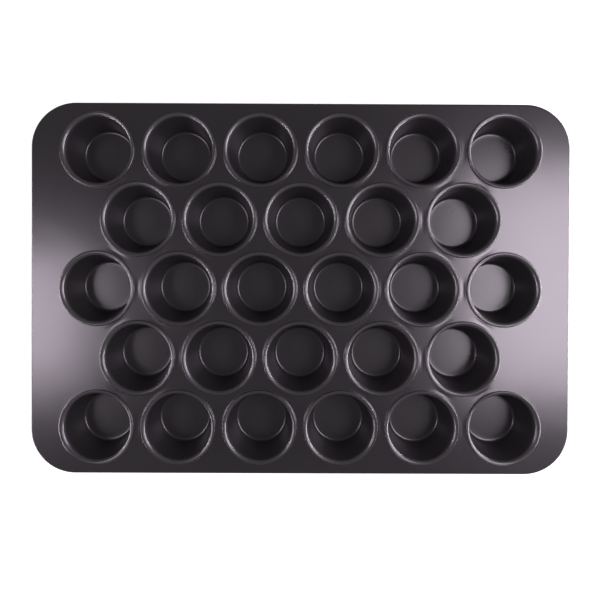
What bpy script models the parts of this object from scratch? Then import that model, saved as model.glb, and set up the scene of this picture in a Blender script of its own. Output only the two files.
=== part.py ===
"""A full-size bakery muffin tray: 28 drawn cups held in one stamped plate with a wired, rolled edge.

The cups stand on z = 0 and the tray is centred on the Z axis. Its long side runs along X.
Each cup is a sheet shell of its own. It passes down through a hole in the plate, and its rounded lip
is turned out over the hole's edge, so that the cup hangs by it. The plate's own edge is rolled down
and under round a wire.
"""

import math

import bmesh
import bpy
from mathutils import Matrix

# Driving dimensions, in metres.
TRAY_LENGTH = 0.657
TRAY_WIDTH = 0.4525
TRAY_HEIGHT = 0.041
CORNER_RADIUS = 0.0545
PLATE_SHEET = 0.0008
CUP_SHEET = 0.0006
WIRE_RADIUS = 0.0015
CLEARANCE = 0.0004

# The cups: rows from the back (+Y) to the front, and columns from the left (-X) to the right.
CUPS_IN_ROW = (6, 5, 6, 5, 6)
COLUMN_PITCH = 0.0992
ROW_PITCH = 0.0845
FLOOR_RADIUS = 0.0290
WALL_FOOT_RADIUS = 0.0330
WALL_FOOT_HEIGHT = 0.0036
MOUTH_RADIUS = 0.0405
MOUTH_DROP = 0.0028
SHOULDER_RADIUS = 0.0416
SHOULDER_DROP = 0.0009
LIP_CREST_RADIUS = 0.0440
LIP_EDGE_RADIUS = 0.0450
LIP_DROP = 0.0003
HOLE_RADIUS = 0.0428

# How finely the round shapes are faceted.
CUP_FACETS = 18
CORNER_FACETS = 8
ROLL_FACETS = 10
ROLL_SWEEP = math.radians(300)

# The lips are the highest part. The plate lies just under their edges, and its roll has room for the wire.
PLATE_TOP = TRAY_HEIGHT - LIP_DROP - CUP_SHEET - CLEARANCE
ROLL_RADIUS = WIRE_RADIUS + CLEARANCE + PLATE_SHEET


def clear_scene():
    """Remove every object, so that the script starts from an empty scene."""
    for thing in list(bpy.data.objects):
        bpy.data.objects.remove(thing, do_unlink=True)


def new_collection(name):
    """Make a collection and link it to the scene."""
    collection = bpy.data.collections.new(name)
    bpy.context.scene.collection.children.link(collection)
    return collection


def new_material(name, colour, metallic, roughness):
    """Make a plain Principled material."""
    material = bpy.data.materials.new(name)
    material.use_nodes = True
    shader = material.node_tree.nodes["Principled BSDF"]
    shader.inputs["Base Color"].default_value = (*colour, 1.0)
    shader.inputs["Metallic"].default_value = metallic
    shader.inputs["Roughness"].default_value = roughness
    return material


def new_object(name, data, collection, material=None):
    """Wrap mesh or curve data in an object, and give it its material."""
    thing = bpy.data.objects.new(name, data)
    collection.objects.link(thing)
    if material is not None:
        data.materials.clear()
        data.materials.append(material)
    return thing


def rounded_outline(half_length, half_width, radius):
    """Points of a rounded rectangle, anticlockwise from the right side's upper end."""
    corners = ((1, 1), (-1, 1), (-1, -1), (1, -1))
    points = []
    for quarter, (side_x, side_y) in enumerate(corners):
        centre_x = side_x * (half_length - radius)
        centre_y = side_y * (half_width - radius)
        for step in range(CORNER_FACETS + 1):
            angle = math.pi / 2 * (quarter + step / CORNER_FACETS)
            points.append((centre_x + radius * math.cos(angle), centre_y + radius * math.sin(angle)))
    return points


def tray_outline(inset):
    """The tray's outline moved inwards by a distance."""
    return rounded_outline(TRAY_LENGTH / 2 - inset, TRAY_WIDTH / 2 - inset, CORNER_RADIUS - inset)


def cup_places():
    """Yield each cup's name and centre. The rows are staggered by half a pitch."""
    middle_row = (len(CUPS_IN_ROW) - 1) / 2
    for row, count in enumerate(CUPS_IN_ROW):
        centre_y = (middle_row - row) * ROW_PITCH
        for column in range(count):
            centre_x = (column - (count - 1) / 2) * COLUMN_PITCH
            yield f"cup_{row + 1}_{column + 1}", centre_x, centre_y


def cup_profile():
    """The cup's inner skin from its axis out over its lip, as distances from the axis and heights."""
    return (
        (0.0, CUP_SHEET),
        (FLOOR_RADIUS, CUP_SHEET),
        (WALL_FOOT_RADIUS, WALL_FOOT_HEIGHT),
        (MOUTH_RADIUS, TRAY_HEIGHT - MOUTH_DROP),
        (SHOULDER_RADIUS, TRAY_HEIGHT - SHOULDER_DROP),
        (LIP_CREST_RADIUS, TRAY_HEIGHT),
        (LIP_EDGE_RADIUS, TRAY_HEIGHT - LIP_DROP),
    )


def make_cup_mesh():
    """The cup's profile as a line of edges in the XZ plane."""
    points = [(radius, 0.0, height) for radius, height in cup_profile()]
    edges = [(index, index + 1) for index in range(len(points) - 1)]
    mesh = bpy.data.meshes.new("cup_profile")
    mesh.from_pydata(points, edges, [])
    return mesh


def make_cups(collection, material):
    """Turn each cup's profile into a sheet shell, at its own place."""
    mesh = make_cup_mesh()
    for name, centre_x, centre_y in cup_places():
        cup = new_object(name, mesh, collection, material)
        cup.location = (centre_x, centre_y, 0.0)
        turn = cup.modifiers.new("turn", "SCREW")
        turn.steps = CUP_FACETS
        turn.render_steps = CUP_FACETS
        turn.use_merge_vertices = True
        turn.merge_threshold = 0.00001
        turn.use_smooth_shade = True
        sheet = cup.modifiers.new("sheet", "SOLIDIFY")
        sheet.thickness = CUP_SHEET
        sheet.offset = -1.0
        sheet.use_even_offset = True


def make_plate_surface():
    """The plate's upper skin: one flat face, with its edge carried round the roll ring by ring."""
    shape = bmesh.new()
    rings = []
    for step in range(ROLL_FACETS + 1):
        turned = ROLL_SWEEP * step / ROLL_FACETS
        inset = ROLL_RADIUS * (1 - math.sin(turned))
        height = PLATE_TOP - ROLL_RADIUS * (1 - math.cos(turned))
        rings.append([shape.verts.new((x, y, height)) for x, y in tray_outline(inset)])
    shape.faces.new(rings[0])
    for inner, outer in zip(rings, rings[1:]):
        for index, corner in enumerate(inner):
            shape.faces.new((inner[index - 1], outer[index - 1], outer[index], corner))
    mesh = bpy.data.meshes.new("top_plate")
    shape.to_mesh(mesh)
    shape.free()
    mesh.shade_smooth()
    return mesh


def make_hole_cutter(collection):
    """One cutter with a round column at each cup, turned so that its facets line up with the cup's."""
    shape = bmesh.new()
    quarter_turn = Matrix.Rotation(math.pi / 2, 4, "Z")
    for _, centre_x, centre_y in cup_places():
        bmesh.ops.create_cone(
            shape,
            cap_ends=True,
            segments=CUP_FACETS,
            radius1=HOLE_RADIUS,
            radius2=HOLE_RADIUS,
            depth=10 * PLATE_SHEET,
            matrix=Matrix.Translation((centre_x, centre_y, PLATE_TOP)) @ quarter_turn,
        )
    mesh = bpy.data.meshes.new("hole_cutter")
    shape.to_mesh(mesh)
    shape.free()
    cutter = new_object("hole_cutter", mesh, collection)
    cutter.hide_render = True
    cutter.display_type = "WIRE"
    return cutter


def make_top_plate(collection, material, cutter):
    """The stamped plate: a sheet with a rolled edge and a hole for each cup."""
    plate = new_object("top_plate", make_plate_surface(), collection, material)
    sheet = plate.modifiers.new("sheet", "SOLIDIFY")
    sheet.thickness = PLATE_SHEET
    sheet.offset = -1.0
    sheet.use_even_offset = True
    holes = plate.modifiers.new("holes", "BOOLEAN")
    holes.operation = "DIFFERENCE"
    holes.solver = "EXACT"
    holes.object = cutter


def make_rim_wire(collection, material):
    """The closed loop of wire that the plate's edge is rolled round."""
    curve = bpy.data.curves.new("rim_wire", "CURVE")
    curve.dimensions = "3D"
    curve.twist_mode = "Z_UP"
    curve.bevel_depth = WIRE_RADIUS
    curve.bevel_resolution = 2
    curve.render_resolution_u = 0
    points = tray_outline(ROLL_RADIUS)
    spline = curve.splines.new("POLY")
    spline.points.add(len(points) - 1)
    for point, (x, y) in zip(spline.points, points):
        point.co = (x, y, PLATE_TOP - ROLL_RADIUS, 1.0)
    spline.use_cyclic_u = True
    spline.use_smooth = True
    new_object("rim_wire", curve, collection, material)


def build():
    """Make the whole tray."""
    clear_scene()
    parts = new_collection("muffin_tray")
    cutters = new_collection("cutters")
    plate_coating = new_material("plate_coating", (0.060, 0.052, 0.062), 0.6, 0.38)
    cup_coating = new_material("cup_coating", (0.055, 0.048, 0.057), 0.6, 0.34)
    wire_steel = new_material("wire_steel", (0.50, 0.50, 0.51), 1.0, 0.35)
    make_top_plate(parts, plate_coating, make_hole_cutter(cutters))
    make_rim_wire(parts, wire_steel)
    make_cups(parts, cup_coating)


build()
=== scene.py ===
# %% [markdown]
# # A bakery muffin tray
#
# The tray is one stamped plate with 28 drawn cups hung in it. The cups stand in staggered rows, each
# cup's rounded lip is turned out over the edge of its hole, and the plate's own edge is rolled down
# round a stiffening wire. The plate and the cups wear a dark release coating, and the wire is bare.
#
# A real tray of this kind is made from flat sheet by dies and rollers, so every shape on it is a
# section carried round an axis or along an outline. That is how each surface is made here too: numpy
# works out a section once, and carries it round as a whole array.

# %% Load the frame and keep its box
import math

import bmesh
import bpy
import numpy as np
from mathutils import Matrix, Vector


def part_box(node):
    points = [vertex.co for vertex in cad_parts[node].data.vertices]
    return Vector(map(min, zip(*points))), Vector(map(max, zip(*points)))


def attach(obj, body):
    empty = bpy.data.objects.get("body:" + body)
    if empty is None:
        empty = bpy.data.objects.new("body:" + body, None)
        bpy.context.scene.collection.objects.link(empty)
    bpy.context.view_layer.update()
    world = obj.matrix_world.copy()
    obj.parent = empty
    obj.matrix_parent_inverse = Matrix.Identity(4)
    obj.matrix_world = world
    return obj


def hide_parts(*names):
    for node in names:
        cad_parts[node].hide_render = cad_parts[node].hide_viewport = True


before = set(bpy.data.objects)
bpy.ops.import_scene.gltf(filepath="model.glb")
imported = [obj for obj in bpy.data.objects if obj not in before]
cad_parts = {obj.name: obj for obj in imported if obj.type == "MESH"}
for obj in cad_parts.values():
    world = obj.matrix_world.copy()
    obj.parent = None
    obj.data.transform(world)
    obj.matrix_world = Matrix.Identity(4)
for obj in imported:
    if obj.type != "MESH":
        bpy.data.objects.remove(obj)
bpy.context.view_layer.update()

MM = 0.001

# %% [markdown]
# The frame already says where everything is. The plate's box gives the outline and the height of its
# top face, and each cup's box gives the axis that the cup is turned about. Only the small sheet-metal
# sizes that a box can't give are named here.

# %% Read the tray's sizes from the frame
plate_low, plate_high = (np.array(corner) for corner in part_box("top_plate"))
PLATE_TOP = plate_high[2]
HALF_LENGTH, HALF_WIDTH = (plate_high - plate_low)[:2] / 2

cup_names = sorted(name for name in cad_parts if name.startswith("cup_"))
cup_axes = {name: (np.array(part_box(name)[0]) + np.array(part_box(name)[1]))[:2] / 2 for name in cup_names}
LIP_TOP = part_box(cup_names[0])[1][2]

PLATE_SHEET = 0.8 * MM
CUP_SHEET = 0.6 * MM
WIRE_RADIUS = 1.5 * MM
ROLL_RADIUS = 2.7 * MM
CORNER_RADIUS = 54.5 * MM

print(f"{len(cup_names)} cups")
print(f"plate {2 * HALF_LENGTH:.3f} by {2 * HALF_WIDTH:.3f} m, top at {PLATE_TOP:.4f} m")

# %% [markdown]
# ## Helpers for carried sections
#
# A section is a list of points in a plane. Carrying it round gives a grid of points with one row for
# each section point and one column for each place along the way. These helpers join such a grid with
# quads, put arrays into a mesh, and measure the volume, whose sign shows whether the faces point out.

# %% Join a grid of points, and make a mesh from arrays
def arc(centre, radius, start, stop, count):
    """Points of an arc: the centre plus the radius times the cosine and sine of evenly spaced angles,
    which are given in degrees."""
    angle = np.radians(np.linspace(start, stop, count))
    return np.stack([centre[0] + radius * np.cos(angle), centre[1] + radius * np.sin(angle)], axis=1)


def line(start, stop, count):
    """Evenly spaced points from start up to, but not including, stop."""
    share = np.linspace(0, 1, count, endpoint=False)[:, None]
    return np.array(start) * (1 - share) + np.array(stop) * share


def grid_quads(rows, columns, first=0):
    """Quads of a grid whose columns close on themselves: each corner is row times columns plus column."""
    row = np.arange(rows - 1)[:, None]
    column = np.arange(columns)[None, :]
    after = (column + 1) % columns
    corners = [row * columns + column, row * columns + after]
    corners += [(row + 1) * columns + after, (row + 1) * columns + column]
    return first + np.stack(corners, axis=-1).reshape(-1, 4)


def signed_volume(mesh):
    """The volume inside a closed mesh: the sum over all triangles of the first corner times the cross
    product of the other two, over six. It is positive if the faces point out."""
    mesh.calc_loop_triangles()
    corners = np.empty(3 * len(mesh.loop_triangles), dtype=np.int32)
    mesh.loop_triangles.foreach_get("vertices", corners)
    places = np.empty(3 * len(mesh.vertices))
    mesh.vertices.foreach_get("co", places)
    triangle = places.reshape(-1, 3)[corners.reshape(-1, 3)]
    return float(np.einsum("ij,ij->", triangle[:, 0], np.cross(triangle[:, 1], triangle[:, 2])) / 6)


def finish_piece(name, mesh, node, material):
    """Make the object, smooth it, hang it on the body, and let it stand for its solid."""
    mesh.shade_smooth()
    mesh.materials.append(material)
    piece = bpy.data.objects.new(name, mesh)
    bpy.context.scene.collection.objects.link(piece)
    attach(piece, "root")
    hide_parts(node)
    return piece


# %% [markdown]
# ## The coating
#
# The release coating is a dark charcoal film with a faint purple cast. It is sprayed on and baked, so
# it levels almost flat but keeps a fine orange peel, and very fine mica in it gives a soft metallic
# gloss. Under it the thin sheet is never quite flat, which bends large reflections a little.
#
# A Principled shader that is mostly metallic with a dark colour gives that gloss, and a dark specular
# tint keeps it from turning mirror-bright at grazing angles. Noise on object coordinates, which here
# are metres on the tray, gives each effect its own real scale.
#
# The plate and the cups share one recipe. The cups take less metal and more body colour, which lifts the
# shade inside them a little, and a darker tone than the plate's, which is painted shade for the inside of
# the cups.

# %% Node helpers
def new_nodes(name):
    """Make a material. Returns it, its Principled shader, and the functions that add and link nodes."""
    material = bpy.data.materials.new(name)
    material.use_nodes = True
    tree = material.node_tree
    shader = tree.nodes["Principled BSDF"]

    def add(kind, **settings):
        node = tree.nodes.new(kind)
        for key, value in settings.items():
            if key in node.inputs:
                node.inputs[key].default_value = value
            else:
                setattr(node, key, value)
        return node

    return material, shader, add, tree.links.new


def ramp(add, link, source, low, high):
    """Stretch a 0 to 1 value to run from low to high."""
    node = add("ShaderNodeMapRange")
    node.inputs["To Min"].default_value = low
    node.inputs["To Max"].default_value = high
    link(source, node.inputs["Value"])
    return node.outputs["Result"]


# %% Make the release coating
CLOUD_SCALE = 14.0
BUCKLE_SCALE = 11.0
PEEL_SCALE = 620.0
MICA_SCALE = 2600.0
PEEL_HEIGHT = 0.004 * MM
TONE_SPREAD = 0.07
MICA_STRENGTH = 0.35
ROUGHNESS_SPREAD = 0.02
GRAZING_TINT = (0.4, 0.4, 0.4, 1.0)


def release_coating(name, tone, metallic, roughness, waviness):
    """Dark baked coating. The tone is its colour, metallic is how much of it shines as the flakes in it
    do, and waviness is how far the sheet under it is from flat."""
    material, shader, add, link = new_nodes(name)
    place = add("ShaderNodeTexCoord").outputs["Object"]
    cloud = add("ShaderNodeTexNoise", Scale=CLOUD_SCALE, Detail=3.0)
    mica = add("ShaderNodeTexNoise", Scale=MICA_SCALE, Detail=1.0)
    peel = add("ShaderNodeTexNoise", Scale=PEEL_SCALE, Detail=2.0)
    buckle = add("ShaderNodeTexNoise", Scale=BUCKLE_SCALE, Detail=1.0)
    for texture in (cloud, mica, peel, buckle):
        link(place, texture.inputs["Vector"])

    colour = add("ShaderNodeMix", data_type="RGBA")
    colour.inputs[6].default_value = (*((1 - TONE_SPREAD) * np.array(tone)), 1.0)
    colour.inputs[7].default_value = (*((1 + TONE_SPREAD) * np.array(tone)), 1.0)
    link(cloud.outputs["Fac"], colour.inputs["Factor"])
    flake = add("ShaderNodeMix", data_type="RGBA", blend_type="MULTIPLY")
    flake.inputs["Factor"].default_value = MICA_STRENGTH
    link(colour.outputs[2], flake.inputs[6])
    link(ramp(add, link, mica.outputs["Fac"], 0.5, 1.5), flake.inputs[7])
    link(flake.outputs[2], shader.inputs["Base Color"])

    smooth, rough = roughness - ROUGHNESS_SPREAD, roughness + ROUGHNESS_SPREAD
    link(ramp(add, link, cloud.outputs["Fac"], smooth, rough), shader.inputs["Roughness"])

    sheet = add("ShaderNodeBump", Strength=1.0, Distance=waviness)
    link(buckle.outputs["Fac"], sheet.inputs["Height"])
    skin = add("ShaderNodeBump", Strength=1.0, Distance=PEEL_HEIGHT)
    link(peel.outputs["Fac"], skin.inputs["Height"])
    link(sheet.outputs["Normal"], skin.inputs["Normal"])
    link(skin.outputs["Normal"], shader.inputs["Normal"])
    shader.inputs["Metallic"].default_value = metallic
    shader.inputs["Specular Tint"].default_value = GRAZING_TINT
    return material


plate_coating = release_coating(
    "plate_coating", (0.105, 0.092, 0.107), metallic=0.85, roughness=0.25, waviness=0.5 * MM
)
# Painted shade: the cups' tone is a darker copy of the plate's tone, to darken the inside of the cups.
cup_coating = release_coating(
    "cup_coating", (0.092, 0.081, 0.094), metallic=0.6, roughness=0.28, waviness=0.2 * MM
)


# %% [markdown]
# ## The cups
#
# A cup is deep drawn: a punch pushes a disc of sheet into a die, which leaves a flat floor, a small
# fillet, a straight tapered wall, and a lip that rolls outwards and curls down over the hole's edge.
# Its section is one line drawn from the middle of the floor out to the lip's edge. Moving that line
# sideways by the sheet's thickness gives the other skin, a half circle closes the lip's edge, and
# turning the whole section about the cup's axis gives the shell.

# %% Draw the cup's section
FLOOR_TOP = CUP_SHEET
FILLET_RADIUS = 3.6 * MM
WALL_TAPER = 12.2
LIP_CREST = 44.4 * MM
LIP_RADIUS = 4.1 * MM
CURL_RADIUS = 0.8 * MM
CURL_END_ANGLE = 8
CUP_COLUMNS = 96


def cup_skin():
    """Floor line, fillet arc, wall line, lip arc and curl arc, each tangent to the next. The wall leans
    outwards by its taper angle, so the fillet and the lip both meet it at that angle."""
    sine, cosine = math.sin(math.radians(WALL_TAPER)), math.cos(math.radians(WALL_TAPER))
    lip_centre = (LIP_CREST, LIP_TOP - LIP_RADIUS)
    curl_centre = (LIP_CREST, LIP_TOP - CURL_RADIUS)
    wall_head = (LIP_CREST - LIP_RADIUS * cosine, lip_centre[1] + LIP_RADIUS * sine)
    fillet_height = FLOOR_TOP + FILLET_RADIUS
    wall_at_fillet = wall_head[0] - (wall_head[1] - fillet_height) * sine / cosine
    fillet_centre = (wall_at_fillet - FILLET_RADIUS / cosine, fillet_height)

    floor = line((0.0, FLOOR_TOP), (fillet_centre[0], FLOOR_TOP), 8)
    fillet = arc(fillet_centre, FILLET_RADIUS, -90, -WALL_TAPER, 9)
    lip = arc(lip_centre, LIP_RADIUS, 180 - WALL_TAPER, 90, 15)
    wall = line(fillet[-1], lip[0], 7)[1:]
    curl = arc(curl_centre, CURL_RADIUS, 90, CURL_END_ANGLE, 8)[1:]
    print(f"floor {fillet_centre[0] / MM:.1f} mm and wall head {wall_head[0] / MM:.1f} mm from the axis")
    return np.concatenate([floor, fillet, wall, lip, curl])


def thickened(skin, thickness):
    """Close a sheet's section: the skin, a half circle round its edge, and the skin moved sideways by the
    thickness, drawn backwards. Sideways is the skin's direction turned a quarter turn clockwise."""
    ahead = np.gradient(skin, axis=0)
    ahead /= np.linalg.norm(ahead, axis=1)[:, None]
    sideways = np.stack([ahead[:, 1], -ahead[:, 0]], axis=1)
    other = skin + thickness * sideways
    other[0, 0] = 0.0
    turn = np.linspace(0, np.pi, 7)[1:-1, None]
    middle = (skin[-1] + other[-1]) / 2
    edge = middle + thickness / 2 * (np.sin(turn) * ahead[-1] - np.cos(turn) * sideways[-1])
    return np.concatenate([skin, edge, other[::-1]])


cup_section = thickened(cup_skin(), CUP_SHEET)
print(f"cup section of {len(cup_section)} points")


# %% Turn the section about each cup's axis
def turned_mesh(name, section, axis, columns):
    """A closed turned shell: x is the axis plus radius times cosine, y is the axis plus radius times sine,
    and the section's first and last points lie on the axis and become the poles."""
    angle = np.linspace(0, 2 * np.pi, columns, endpoint=False)[None, :]
    radius, height = section[1:-1, 0:1], section[1:-1, 1:2]
    rows = len(section) - 2
    x = axis[0] + radius * np.cos(angle)
    y = axis[1] + radius * np.sin(angle)
    ring_points = np.stack([x, y, height + 0 * angle], axis=-1).reshape(-1, 3)
    poles = np.array([[*axis, section[0, 1]], [*axis, section[-1, 1]]])
    points = np.concatenate([ring_points, poles])

    column = np.arange(columns)
    after = (column + 1) % columns
    top_pole, bottom_pole = rows * columns, rows * columns + 1
    last_row = (rows - 1) * columns
    quads = grid_quads(rows, columns)[:, ::-1]
    floor_fan = np.stack([column, after, np.full(columns, top_pole)], axis=1)
    base_fan = np.stack([last_row + after, last_row + column, np.full(columns, bottom_pole)], axis=1)
    mesh = bpy.data.meshes.new(name)
    mesh.from_pydata(points.tolist(), [], quads.tolist() + floor_fan.tolist() + base_fan.tolist())
    return mesh


for name in cup_names:
    cup_mesh = turned_mesh(f"{name}_shell", cup_section, cup_axes[name], CUP_COLUMNS)
    finish_piece(f"{name}_shell", cup_mesh, name, cup_coating)
cup_volume = signed_volume(cup_mesh)
print(f"each cup holds {cup_volume * 1e6:.2f} cubic cm of sheet in {len(cup_mesh.polygons)} faces")

# %% [markdown]
# ## The plate
#
# The plate is stamped in one stroke: 28 holes with a fine bead round each. Where two cups stand close,
# seating them dishes the narrow web between them. The edge is then rolled down and under. Away from
# the holes and the roll the sheet is flat, and a flat sheet needs no grid, so only the surrounds of
# the holes and the roll are carried sections. Each starts on the flat top face, goes round its edge
# and ends on the flat under face, and two fills close what is left.

# %% Draw the hole's section and the roll's section
HOLE_RADIUS = 42.8 * MM
BEAD_INNER = 45.0 * MM
BEAD_OUTER = 46.3 * MM
BEAD_HEIGHT = 0.25 * MM
SURROUND_RADIUS = 48.7 * MM
FLAT_MARGIN = 0.2 * MM
ROLL_END_ANGLE = 210
RING_COLUMNS = 96
CORNER_STEPS = 25


def bead_height(radius):
    """Half a cosine wave, high at the bead's middle radius and level at both of its edges."""
    phase = np.clip((radius - BEAD_INNER) / (BEAD_OUTER - BEAD_INNER), 0, 1) * 2 * np.pi
    return BEAD_HEIGHT * (1 - np.cos(phase)) / 2


def hole_section():
    """From the flat top in over the bead, round the hole's edge and back out underneath, where fewer
    points are enough."""
    edge_radius = HOLE_RADIUS + PLATE_SHEET / 2
    surround = np.linspace(SURROUND_RADIUS, BEAD_OUTER, 7)
    bead = np.linspace(BEAD_OUTER, BEAD_INNER, 11)[1:]
    top = np.concatenate([surround, bead, [edge_radius]])
    under = np.concatenate([[edge_radius], bead[::-3], surround[::-2]])
    edge = arc((edge_radius, -PLATE_SHEET / 2), PLATE_SHEET / 2, 90, 270, 5)[1:-1]
    top_points = np.stack([top, bead_height(top)], axis=1)
    under_points = np.stack([under, bead_height(under) - PLATE_SHEET], axis=1)
    return np.concatenate([top_points, edge, under_points])


def roll_section():
    """From the flat top out over the roll, down and under it, round the sheet's end and back along the
    inside. Each point is an inset from the tray's outline and a height from the plate's top. Insets
    grow inwards, so an arc drawn outwards is mirrored."""
    centre = np.array([ROLL_RADIUS, -ROLL_RADIUS])
    mirrored = np.array([-1, 1])
    stop = -ROLL_END_ANGLE
    end_direction = np.array([-math.cos(math.radians(stop)), math.sin(math.radians(stop))])
    end = centre + (ROLL_RADIUS - PLATE_SHEET / 2) * end_direction
    outside = arc((0.0, 0.0), ROLL_RADIUS, 90, stop, 49) * mirrored + centre
    tip = arc((0.0, 0.0), PLATE_SHEET / 2, stop, stop - 180, 7)[1:-1] * mirrored + end
    inside = arc((0.0, 0.0), ROLL_RADIUS - PLATE_SHEET, stop, 90, 33) * mirrored + centre
    first = np.array([[ROLL_RADIUS + FLAT_MARGIN, 0.0]])
    last = np.array([[ROLL_RADIUS + FLAT_MARGIN, -PLATE_SHEET]])
    return np.concatenate([first, outside, tip, inside, last])


# %% Carry the sections round the holes and along the outline
def outline_points(inset, corner_steps):
    """The rounded rectangle moved inwards: four arcs about fixed corner centres, each a quarter turn,
    with the corner radius less the inset. The straight sides join one arc's end to the next's start."""
    quarter = np.arange(4)[:, None]
    angle = np.pi / 2 * (quarter + np.linspace(0, 1, corner_steps)[None, :])
    sign_x = np.array([1, -1, -1, 1])[:, None]
    sign_y = np.array([1, 1, -1, -1])[:, None]
    centre_x = sign_x * (HALF_LENGTH - CORNER_RADIUS)
    centre_y = sign_y * (HALF_WIDTH - CORNER_RADIUS)
    reach = CORNER_RADIUS - np.asarray(inset)[:, None, None]
    x = centre_x + reach * np.cos(angle)
    y = centre_y + reach * np.sin(angle)
    return np.stack([x, y], axis=-1).reshape(len(inset), -1, 2)


def hole_points(section, axis):
    """The hole's section turned about its axis: x and y are the axis plus the radius times the cosine and
    sine of the angle, and z is the plate's top plus the section's height."""
    angle = np.linspace(0, 2 * np.pi, RING_COLUMNS, endpoint=False)[None, :]
    x = axis[0] + section[:, 0:1] * np.cos(angle)
    y = axis[1] + section[:, 0:1] * np.sin(angle)
    z = PLATE_TOP + section[:, 1:2] + 0 * angle
    return np.stack([x, y, z], axis=-1)


def roll_points(section, corner_steps):
    """The roll's section carried along the tray's outline: the outline moved in by each inset, at the
    plate's top plus each height."""
    flat = outline_points(section[:, 0], corner_steps)
    height = np.broadcast_to(PLATE_TOP + section[:, 1][:, None, None], (*flat.shape[:2], 1))
    return np.concatenate([flat, height], axis=-1)


# %% Dish the webs and fill the plate
DISH_DEPTH = 0.30 * MM
DISH_REACH = 2.2 * MM
DISH_LENGTH = 15 * MM
NEIGHBOUR_REACH = 105 * MM


def dish_webs(mesh):
    """Press a shallow dish into the web between each two neighbouring cups. Its depth is a bell curve of
    the distance across the web times a bell curve of the distance along it."""
    places = np.empty(3 * len(mesh.vertices))
    mesh.vertices.foreach_get("co", places)
    places = places.reshape(-1, 3)
    axes = np.array([cup_axes[name] for name in cup_names])
    first, second = np.triu_indices(len(axes), 1)
    close = np.linalg.norm(axes[first] - axes[second], axis=1) < NEIGHBOUR_REACH
    for start, stop in zip(axes[first[close]], axes[second[close]]):
        across = (stop - start) / np.linalg.norm(stop - start)
        offset = places[:, :2] - (start + stop) / 2
        distance_across = offset @ across
        distance_along = offset @ np.array([-across[1], across[0]])
        bell = np.exp(-(distance_across / DISH_REACH) ** 2 - (distance_along / DISH_LENGTH) ** 2)
        places[:, 2] -= DISH_DEPTH * bell
    mesh.vertices.foreach_set("co", places.ravel())
    print(f"{close.sum()} webs dished")


def plate_mesh():
    """All the carried grids in one mesh, with the flat top and the flat under face filled in between."""
    grids = [roll_points(roll_section(), CORNER_STEPS)]
    grids += [hole_points(hole_section(), cup_axes[name]) for name in cup_names]
    points = []
    quads = []
    first = 0
    for grid in grids:
        rows, columns = grid.shape[:2]
        points.append(grid.reshape(-1, 3))
        quads.append(grid_quads(rows, columns, first))
        first += rows * columns
    mesh = bpy.data.meshes.new("stamped_plate")
    mesh.from_pydata(np.concatenate(points).tolist(), [], np.concatenate(quads).tolist())

    shape = bmesh.new()
    shape.from_mesh(mesh)
    open_edges = [edge for edge in shape.edges if edge.is_boundary]
    level = PLATE_TOP - PLATE_SHEET / 2
    top_edges = [edge for edge in open_edges if edge.verts[0].co.z > level]
    under_edges = [edge for edge in open_edges if edge.verts[0].co.z < level]
    bmesh.ops.triangle_fill(shape, use_beauty=True, edges=top_edges)
    bmesh.ops.triangle_fill(shape, use_beauty=True, edges=under_edges)
    bmesh.ops.recalc_face_normals(shape, faces=shape.faces)
    print(f"plate: {len(shape.faces)} faces, {sum(edge.is_boundary for edge in shape.edges)} open edges")
    shape.to_mesh(mesh)
    shape.free()
    dish_webs(mesh)
    return mesh


stamped_plate = finish_piece("stamped_plate", plate_mesh(), "top_plate", plate_coating)
print(f"the plate holds {signed_volume(stamped_plate.data) * 1e6:.1f} cubic cm of sheet")

# %% [markdown]
# ## The wire
#
# The wire is plain drawn steel, bent to the outline and closed by a butt weld. It hides in the roll,
# and only shows a little through the roll's open seam from below. Drawing leaves fine lines along it.

# %% Make the drawn steel and the wire
def drawn_steel():
    """Bright steel with fine noise in its colour and roughness."""
    material, shader, add, link = new_nodes("drawn_steel")
    place = add("ShaderNodeTexCoord").outputs["Object"]
    grain = add("ShaderNodeTexNoise", Scale=900.0, Detail=3.0)
    link(place, grain.inputs["Vector"])
    link(ramp(add, link, grain.outputs["Fac"], 0.28, 0.42), shader.inputs["Roughness"])
    link(ramp(add, link, grain.outputs["Fac"], 0.42, 0.58), shader.inputs["Base Color"])
    shader.inputs["Metallic"].default_value = 1.0
    return material


def wire_mesh():
    """A round section of the wire's radius carried along the outline at the roll's centre. The last row
    of quads joins back to the first."""
    section = arc((ROLL_RADIUS, -ROLL_RADIUS), WIRE_RADIUS, 0, 360, 17)
    grid = roll_points(section[:-1], CORNER_STEPS)
    rows, columns = grid.shape[:2]
    closed = np.concatenate([grid, grid[:1]])
    quads = grid_quads(rows + 1, columns) % (rows * columns)
    mesh = bpy.data.meshes.new("stiffening_wire")
    mesh.from_pydata(closed[:-1].reshape(-1, 3).tolist(), [], quads.tolist())
    return mesh


stiffening_wire = finish_piece("stiffening_wire", wire_mesh(), "rim_wire", drawn_steel())
print(f"the wire holds {signed_volume(stiffening_wire.data) * 1e6:.2f} cubic cm of steel")

# %% [markdown]
# ## The studio
#
# The tray stands on a plain white table. Two large soft panels hang to its left and right, with a dark
# gap between them where the camera looks down. A glossy dark sheet shows mostly what it reflects, so
# the panels' edges decide where the plate turns from charcoal to pale grey.
#
# A long narrow strip also stands low beyond each end. A rounded lip reflects every direction down to
# the horizon, so the strips draw the bright crescents on the lips. They are low, because the flat plate
# would mirror taller ones when it is seen from the side, and its far part would turn white.

# %% Lay the table and hang the panels
TABLE_HALF = 4.0
TABLE_DROP = 0.3 * MM
TABLE_GLOW = 0.6
PANEL_HEIGHT = PLATE_TOP + 1.0
STRIP_HEIGHT = 0.14
STRIP_WIDTH = 0.20
FACE_LEFT = 90
FACE_RIGHT = -90
WORLD_GREY = 0.15


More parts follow.
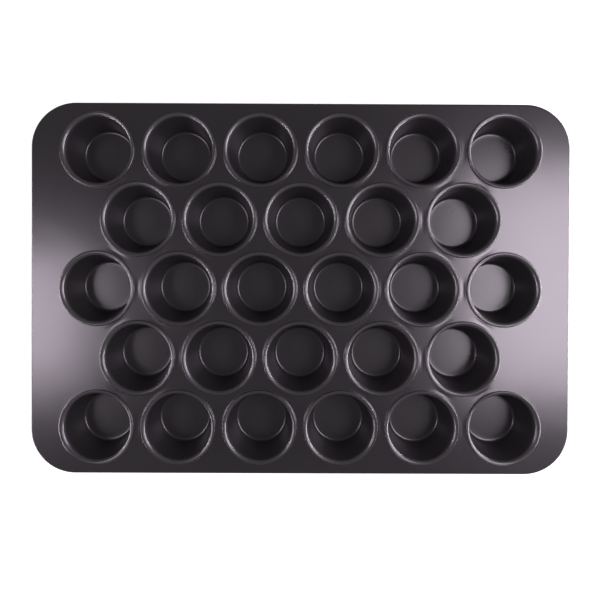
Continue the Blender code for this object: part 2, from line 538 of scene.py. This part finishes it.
def white_table():
    """A flat white floor, a little brighter than the light on it alone would make it. It lies a hair
    below the cups, so that their undersides and the floor are not one surface."""
    material, shader, add, link = new_nodes("white_table")
    grain = add("ShaderNodeTexNoise", Scale=300.0, Detail=2.0)
    link(add("ShaderNodeTexCoord").outputs["Object"], grain.inputs["Vector"])
    link(ramp(add, link, grain.outputs["Fac"], 0.88, 0.92), shader.inputs["Base Color"])
    shader.inputs["Roughness"].default_value = 0.9
    shader.inputs["Specular IOR Level"].default_value = 0.0
    shader.inputs["Emission Color"].default_value = (1.0, 1.0, 1.0, 1.0)
    shader.inputs["Emission Strength"].default_value = TABLE_GLOW
    signs = ((-1, -1), (1, -1), (1, 1), (-1, 1))
    corners = [(TABLE_HALF * sign_x, TABLE_HALF * sign_y, -TABLE_DROP) for sign_x, sign_y in signs]
    mesh = bpy.data.meshes.new("table")
    mesh.from_pydata(corners, [], [(0, 1, 2, 3)])
    mesh.materials.append(material)
    table = bpy.data.objects.new("table", mesh)
    bpy.context.scene.collection.objects.link(table)


def soft_panel(name, centre, size, turn, radiance):
    """A rectangular light. It faces down, and turning it by some degrees about Y swings its face towards
    -X. Its size is given along X and Y before it is turned, and its power is pi times its area times its
    radiance."""
    light = bpy.data.lights.new(name, "AREA")
    light.shape = "RECTANGLE"
    light.size, light.size_y = size
    light.energy = math.pi * size[0] * size[1] * radiance
    panel = bpy.data.objects.new(name, light)
    panel.location = centre
    panel.rotation_euler = (0.0, math.radians(turn), 0.0)
    bpy.context.scene.collection.objects.link(panel)


white_table()
soft_panel("right_panel", (1.20, -0.035, PANEL_HEIGHT), (1.20, 0.81), 0, 6.2)
soft_panel("right_wall_panel", (2.0, -0.20, STRIP_HEIGHT), (STRIP_WIDTH, 2.20), FACE_LEFT, 62.0)
soft_panel("left_panel", (-1.265, -0.175, PANEL_HEIGHT), (1.05, 0.49), 0, 5.4)
soft_panel("left_wall_panel", (-2.0, -0.70, STRIP_HEIGHT), (STRIP_WIDTH, 2.00), FACE_RIGHT, 40.0)

world = bpy.data.worlds.new("studio")
world.use_nodes = True
background = world.node_tree.nodes["Background"]
background.inputs["Color"].default_value = (WORLD_GREY, WORLD_GREY, WORLD_GREY, 1.0)
bpy.context.scene.world = world
bpy.context.scene.view_settings.view_transform = "Standard"
lamps = [thing for thing in bpy.context.scene.objects if thing.type == "LIGHT"]
print(f"{len(lamps)} lights, {sum(lamp.data.energy for lamp in lamps):.0f} W in all")

# %% [markdown]
# ## The camera
#
# The camera hangs half a metre above the plate, a little behind the tray's middle, and looks straight
# down but for a fraction of a degree. From so near, the outer cups show the inside of their outer walls.

# %% Hang the camera
CAMERA_HEIGHT = 0.533
camera_data = bpy.data.cameras.new("camera")
camera_data.sensor_width = 36.0
camera_data.lens = 26.26
camera_data.shift_x = 0.0071
camera_data.shift_y = -0.0647
camera = bpy.data.objects.new("camera", camera_data)
camera.location = (-0.0065, 0.0365, PLATE_TOP + CAMERA_HEIGHT)
camera.rotation_euler = (math.radians(-0.281), math.radians(-0.071), math.radians(0.246))
bpy.context.scene.collection.objects.link(camera)
bpy.context.scene.camera = camera
